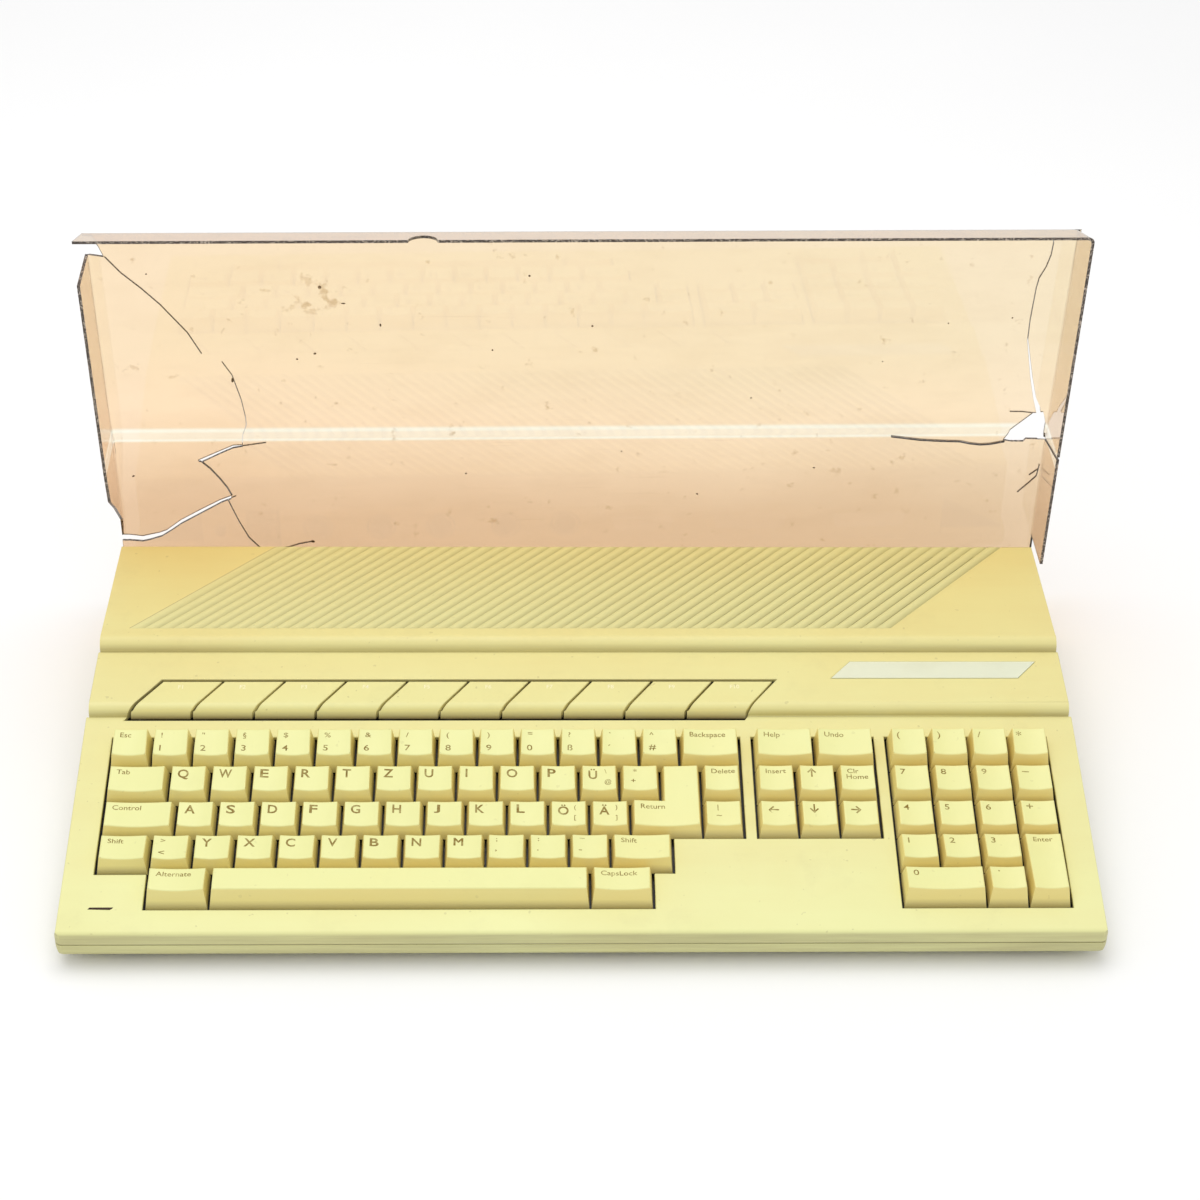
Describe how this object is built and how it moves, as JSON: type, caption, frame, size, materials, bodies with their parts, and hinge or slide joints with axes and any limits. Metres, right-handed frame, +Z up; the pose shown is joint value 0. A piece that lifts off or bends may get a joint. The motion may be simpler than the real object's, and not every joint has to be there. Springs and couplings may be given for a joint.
{
  "type": "home computer with dust cover",
  "caption": "Low home computer with the keyboard in its wedge-shaped case, louvred rear vents and a clear folded dust cover standing behind it.",
  "frame": {"origin": "bottom centre of the bounding box: on the table, in the middle of the width, halfway between the case's front edge and the back of the cover", "axes": "+X to the user's right along the keyboard, +Y from the user to the back, +Z up"},
  "size_m": [0.4806, 0.2776, 0.2381],
  "materials": {
    "case_plastic": "fine moulded texture, yellowed beige",
    "key_plastic": "satin, yellowed, polished by use on the tops",
    "feet_rubber": "soft black rubber",
    "screw_steel": "zinc plated",
    "badge_metal": "brushed foil, bare",
    "lamp_plastic": "dark red, unlit",
    "frame_plastic": "black moulding",
    "dome_rubber": "grey silicone",
    "board": "green solder mask on glass fibre",
    "chip_plastic": "moulded black",
    "sheet_steel": "tinned sheet",
    "cable_plastic": "grey flat cable",
    "socket_plastic": "black moulding",
    "smoked_plastic": "clear acrylic sheet tinted brown, scratched, with dirt spots"
  },
  "bodies": {
    "computer": {"bottom_case": "case_plastic", "top_case": "case_plastic", "rubber_feet": "feet_rubber", "case_screws": "screw_steel", "badge_plate": "badge_metal", "power_lamp": "lamp_plastic", "keyboard_frame": "frame_plastic", "rubber_domes": "dome_rubber", "keyboard_board": "board", "keyboard_backplate": "sheet_steel", "main_board": "board", "board_chips": "chip_plastic", "shield_cover": "sheet_steel", "keyboard_cable": "cable_plastic", "din_sockets": "socket_plastic", "wide_sockets": "sheet_steel", "joystick_sockets": "sheet_steel", "cartridge_socket": "socket_plastic", "power_switch_body": "socket_plastic"},
    "space_bar": {"space_bar": "key_plastic"},
    "return_key": {"return_key": "key_plastic"},
    "escape_key": {"escape_key": "key_plastic"},
    "backspace_key": {"backspace_key": "key_plastic"},
    "tab_key": {"tab_key": "key_plastic"},
    "delete_key": {"delete_key": "key_plastic"},
    "control_key": {"control_key": "key_plastic"},
    "left_shift_key": {"left_shift_key": "key_plastic"},
    "right_shift_key": {"right_shift_key": "key_plastic"},
    "alternate_key": {"alternate_key": "key_plastic"},
    "caps_lock_key": {"caps_lock_key": "key_plastic"},
    "help_key": {"help_key": "key_plastic"},
    "undo_key": {"undo_key": "key_plastic"},
    "insert_key": {"insert_key": "key_plastic"},
    "up_key": {"up_key": "key_plastic"},
    "home_key": {"home_key": "key_plastic"},
    "left_key": {"left_key": "key_plastic"},
    "down_key": {"down_key": "key_plastic"},
    "right_key": {"right_key": "key_plastic"},
    "numpad_zero_key": {"numpad_zero_key": "key_plastic"},
    "numpad_enter_key": {"numpad_enter_key": "key_plastic"},
    "number_keys": {"number_keys": "key_plastic"},
    "upper_letter_keys": {"upper_letter_keys": "key_plastic"},
    "home_letter_keys": {"home_letter_keys": "key_plastic"},
    "lower_letter_keys": {"lower_letter_keys": "key_plastic"},
    "numpad_sign_keys": {"numpad_sign_keys": "key_plastic"},
    "numpad_digit_keys": {"numpad_digit_keys": "key_plastic"},
    "function_key_1": {"function_key_1": "case_plastic"},
    "function_key_2": {"function_key_2": "case_plastic"},
    "function_key_3": {"function_key_3": "case_plastic"},
    "function_key_4": {"function_key_4": "case_plastic"},
    "function_key_5": {"function_key_5": "case_plastic"},
    "function_key_6": {"function_key_6": "case_plastic"},
    "function_key_7": {"function_key_7": "case_plastic"},
    "function_key_8": {"function_key_8": "case_plastic"},
    "function_key_9": {"function_key_9": "case_plastic"},
    "function_key_10": {"function_key_10": "case_plastic"},
    "power_rocker": {"power_rocker": "socket_plastic"},
    "reset_button": {"reset_button": "socket_plastic"},
    "dust_cover": {"dust_cover": "smoked_plastic"}
  },
  "joints": [
    {"name": "space_bar_press", "type": "slide", "parent": "computer", "child": "space_bar", "axis": [0, 0.2181, -0.9759], "range_m": [0, 0.0035], "stiffness_N_per_m": 150, "springref_m": -0.002},
    {"name": "return_key_press", "type": "slide", "parent": "computer", "child": "return_key", "axis": [0, 0.2181, -0.9759], "range_m": [0, 0.0035], "stiffness_N_per_m": 150, "springref_m": -0.002},
    {"name": "escape_key_press", "type": "slide", "parent": "computer", "child": "escape_key", "axis": [0, 0.2181, -0.9759], "range_m": [0, 0.0035], "stiffness_N_per_m": 150, "springref_m": -0.002},
    {"name": "backspace_key_press", "type": "slide", "parent": "computer", "child": "backspace_key", "axis": [0, 0.2181, -0.9759], "range_m": [0, 0.0035], "stiffness_N_per_m": 150, "springref_m": -0.002},
    {"name": "tab_key_press", "type": "slide", "parent": "computer", "child": "tab_key", "axis": [0, 0.2181, -0.9759], "range_m": [0, 0.0035], "stiffness_N_per_m": 150, "springref_m": -0.002},
    {"name": "delete_key_press", "type": "slide", "parent": "computer", "child": "delete_key", "axis": [0, 0.2181, -0.9759], "range_m": [0, 0.0035], "stiffness_N_per_m": 150, "springref_m": -0.002},
    {"name": "control_key_press", "type": "slide", "parent": "computer", "child": "control_key", "axis": [0, 0.2181, -0.9759], "range_m": [0, 0.0035], "stiffness_N_per_m": 150, "springref_m": -0.002},
    {"name": "left_shift_key_press", "type": "slide", "parent": "computer", "child": "left_shift_key", "axis": [0, 0.2181, -0.9759], "range_m": [0, 0.0035], "stiffness_N_per_m": 150, "springref_m": -0.002},
    {"name": "right_shift_key_press", "type": "slide", "parent": "computer", "child": "right_shift_key", "axis": [0, 0.2181, -0.9759], "range_m": [0, 0.0035], "stiffness_N_per_m": 150, "springref_m": -0.002},
    {"name": "alternate_key_press", "type": "slide", "parent": "computer", "child": "alternate_key", "axis": [0, 0.2181, -0.9759], "range_m": [0, 0.0035], "stiffness_N_per_m": 150, "springref_m": -0.002},
    {"name": "caps_lock_key_press", "type": "slide", "parent": "computer", "child": "caps_lock_key", "axis": [0, 0.2181, -0.9759], "range_m": [0, 0.0035], "stiffness_N_per_m": 150, "springref_m": -0.002},
    {"name": "help_key_press", "type": "slide", "parent": "computer", "child": "help_key", "axis": [0, 0.2181, -0.9759], "range_m": [0, 0.0035], "stiffness_N_per_m": 150, "springref_m": -0.002},
    {"name": "undo_key_press", "type": "slide", "parent": "computer", "child": "undo_key", "axis": [0, 0.2181, -0.9759], "range_m": [0, 0.0035], "stiffness_N_per_m": 150, "springref_m": -0.002},
    {"name": "insert_key_press", "type": "slide", "parent": "computer", "child": "insert_key", "axis": [0, 0.2181, -0.9759], "range_m": [0, 0.0035], "stiffness_N_per_m": 150, "springref_m": -0.002},
    {"name": "up_key_press", "type": "slide", "parent": "computer", "child": "up_key", "axis": [0, 0.2181, -0.9759], "range_m": [0, 0.0035], "stiffness_N_per_m": 150, "springref_m": -0.002},
    {"name": "home_key_press", "type": "slide", "parent": "computer", "child": "home_key", "axis": [0, 0.2181, -0.9759], "range_m": [0, 0.0035], "stiffness_N_per_m": 150, "springref_m": -0.002},
    {"name": "left_key_press", "type": "slide", "parent": "computer", "child": "left_key", "axis": [0, 0.2181, -0.9759], "range_m": [0, 0.0035], "stiffness_N_per_m": 150, "springref_m": -0.002},
    {"name": "down_key_press", "type": "slide", "parent": "computer", "child": "down_key", "axis": [0, 0.2181, -0.9759], "range_m": [0, 0.0035], "stiffness_N_per_m": 150, "springref_m": -0.002},
    {"name": "right_key_press", "type": "slide", "parent": "computer", "child": "right_key", "axis": [0, 0.2181, -0.9759], "range_m": [0, 0.0035], "stiffness_N_per_m": 150, "springref_m": -0.002},
    {"name": "numpad_zero_key_press", "type": "slide", "parent": "computer", "child": "numpad_zero_key", "axis": [0, 0.2181, -0.9759], "range_m": [0, 0.0035], "stiffness_N_per_m": 150, "springref_m": -0.002},
    {"name": "numpad_enter_key_press", "type": "slide", "parent": "computer", "child": "numpad_enter_key", "axis": [0, 0.2181, -0.9759], "range_m": [0, 0.0035], "stiffness_N_per_m": 150, "springref_m": -0.002},
    {"name": "number_keys_press", "type": "slide", "parent": "computer", "child": "number_keys", "axis": [0, 0.2181, -0.9759], "range_m": [0, 0.0035], "stiffness_N_per_m": 600, "springref_m": -0.002},
    {"name": "upper_letter_keys_press", "type": "slide", "parent": "computer", "child": "upper_letter_keys", "axis": [0, 0.2181, -0.9759], "range_m": [0, 0.0035], "stiffness_N_per_m": 600, "springref_m": -0.002},
    {"name": "home_letter_keys_press", "type": "slide", "parent": "computer", "child": "home_letter_keys", "axis": [0, 0.2181, -0.9759], "range_m": [0, 0.0035], "stiffness_N_per_m": 600, "springref_m": -0.002},
    {"name": "lower_letter_keys_press", "type": "slide", "parent": "computer", "child": "lower_letter_keys", "axis": [0, 0.2181, -0.9759], "range_m": [0, 0.0035], "stiffness_N_per_m": 600, "springref_m": -0.002},
    {"name": "numpad_sign_keys_press", "type": "slide", "parent": "computer", "child": "numpad_sign_keys", "axis": [0, 0.2181, -0.9759], "range_m": [0, 0.0035], "stiffness_N_per_m": 600, "springref_m": -0.002},
    {"name": "numpad_digit_keys_press", "type": "slide", "parent": "computer", "child": "numpad_digit_keys", "axis": [0, 0.2181, -0.9759], "range_m": [0, 0.0035], "stiffness_N_per_m": 600, "springref_m": -0.002},
    {"name": "function_key_1_press", "type": "slide", "parent": "computer", "child": "function_key_1", "axis": [0, 0.2181, -0.9759], "range_m": [0, 0.0035], "stiffness_N_per_m": 150, "springref_m": -0.002},
    {"name": "function_key_2_press", "type": "slide", "parent": "computer", "child": "function_key_2", "axis": [0, 0.2181, -0.9759], "range_m": [0, 0.0035], "stiffness_N_per_m": 150, "springref_m": -0.002},
    {"name": "function_key_3_press", "type": "slide", "parent": "computer", "child": "function_key_3", "axis": [0, 0.2181, -0.9759], "range_m": [0, 0.0035], "stiffness_N_per_m": 150, "springref_m": -0.002},
    {"name": "function_key_4_press", "type": "slide", "parent": "computer", "child": "function_key_4", "axis": [0, 0.2181, -0.9759], "range_m": [0, 0.0035], "stiffness_N_per_m": 150, "springref_m": -0.002},
    {"name": "function_key_5_press", "type": "slide", "parent": "computer", "child": "function_key_5", "axis": [0, 0.2181, -0.9759], "range_m": [0, 0.0035], "stiffness_N_per_m": 150, "springref_m": -0.002},
    {"name": "function_key_6_press", "type": "slide", "parent": "computer", "child": "function_key_6", "axis": [0, 0.2181, -0.9759], "range_m": [0, 0.0035], "stiffness_N_per_m": 150, "springref_m": -0.002},
    {"name": "function_key_7_press", "type": "slide", "parent": "computer", "child": "function_key_7", "axis": [0, 0.2181, -0.9759], "range_m": [0, 0.0035], "stiffness_N_per_m": 150, "springref_m": -0.002},
    {"name": "function_key_8_press", "type": "slide", "parent": "computer", "child": "function_key_8", "axis": [0, 0.2181, -0.9759], "range_m": [0, 0.0035], "stiffness_N_per_m": 150, "springref_m": -0.002},
    {"name": "function_key_9_press", "type": "slide", "parent": "computer", "child": "function_key_9", "axis": [0, 0.2181, -0.9759], "range_m": [0, 0.0035], "stiffness_N_per_m": 150, "springref_m": -0.002},
    {"name": "function_key_10_press", "type": "slide", "parent": "computer", "child": "function_key_10", "axis": [0, 0.2181, -0.9759], "range_m": [0, 0.0035], "stiffness_N_per_m": 150, "springref_m": -0.002},
    {"name": "power_rocker_tilt", "type": "hinge", "parent": "computer", "child": "power_rocker", "pos_m": [-0.16926, 0.09716, 0.026], "axis": [1, 0, 0], "range_deg": [0, 16]},
    {"name": "reset_button_press", "type": "slide", "parent": "computer", "child": "reset_button", "axis": [0, -1, 0], "range_m": [0, 0.002], "stiffness_N_per_m": 300, "springref_m": -0.001},
    {"name": "dust_cover_lift", "type": "slide", "parent": "computer", "child": "dust_cover", "axis": [0, 0, 1], "range_m": [0, 0.25]}
  ]
}
